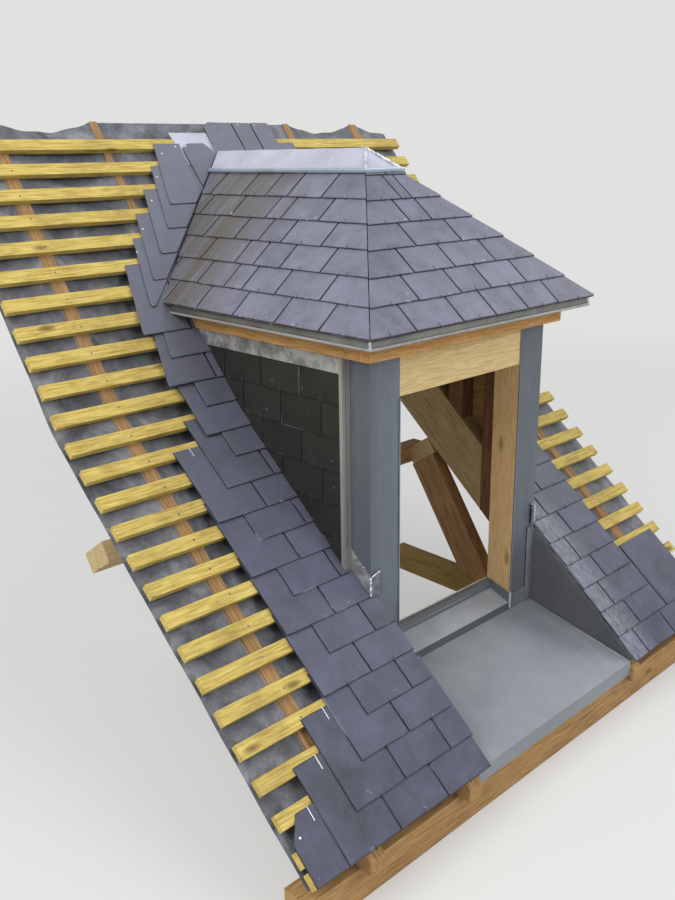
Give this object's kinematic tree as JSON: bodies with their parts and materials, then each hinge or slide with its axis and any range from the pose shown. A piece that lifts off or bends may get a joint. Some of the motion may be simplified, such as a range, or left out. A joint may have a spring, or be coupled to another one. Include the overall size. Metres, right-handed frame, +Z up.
{
  "type": "dormer window",
  "caption": "Slated dormer window with a hipped roof, zinc-clad posts and a zinc tray, set in a strip of main roof on open battens.",
  "frame": {"origin": "middle of the wall plate's underside, on the dormer's centre line", "axes": "+Z up, +Y into the roof, -Y out of the window, +X to the right as seen from outside"},
  "size_m": [2.46, 2.116, 2.3823],
  "materials": {
    "slate": "matt, riven",
    "zinc": "dull, mottled sheet zinc",
    "tray_zinc": "dull, pale mottled sheet zinc",
    "rafter_timber": "sawn",
    "frame_timber": "sawn, stained",
    "pale_pine": "planed",
    "orange_pine": "planed",
    "batten_timber": "sawn",
    "underlay": "matt roofing felt"
  },
  "bodies": {
    "root": {"wall_plate": "frame_timber", "purlins": "pale_pine", "cross_beam": "rafter_timber", "lower_rafters": "rafter_timber", "upper_rafters": "rafter_timber", "head_trimmer": "rafter_timber", "underlay_left": "underlay", "underlay_right": "underlay", "main_battens": "batten_timber", "main_slates_left": "slate", "main_slates_right": "slate", "valley_zinc": "zinc", "valley_boards": "pale_pine", "sill_beam": "frame_timber", "sill_zinc": "zinc", "tray_bearers": "frame_timber", "tray_deck": "pale_pine", "tray_zinc": "tray_zinc", "tray_cheek_left": "zinc", "tray_cheek_right": "zinc", "post_left": "frame_timber", "post_right": "frame_timber", "post_zinc_left": "zinc", "post_zinc_right": "zinc", "header": "pale_pine", "raking_trimmers": "rafter_timber", "cheek_studs": "frame_timber", "cheek_rails": "frame_timber", "foot_flashings": "zinc", "cheek_boards_left": "rafter_timber", "cheek_boards_right": "rafter_timber", "cheek_slates_left": "slate", "cheek_slates_right": "slate", "top_flashings": "zinc", "cheek_trims": "zinc", "struts": "frame_timber", "joists": "frame_timber", "eaves_board_front": "orange_pine", "eaves_board_left": "orange_pine", "eaves_board_right": "orange_pine", "fascia_front": "pale_pine", "fascia_left": "pale_pine", "fascia_right": "pale_pine", "drip_edge": "zinc", "ridge_board": "rafter_timber", "hip_rafters": "rafter_timber", "side_rafters": "rafter_timber", "front_rafters": "rafter_timber", "side_battens": "batten_timber", "side_slates_left": "slate", "side_slates_right": "slate", "front_battens": "batten_timber", "front_slates": "slate", "ridge_cap": "zinc"}
  },
  "joints": []
}
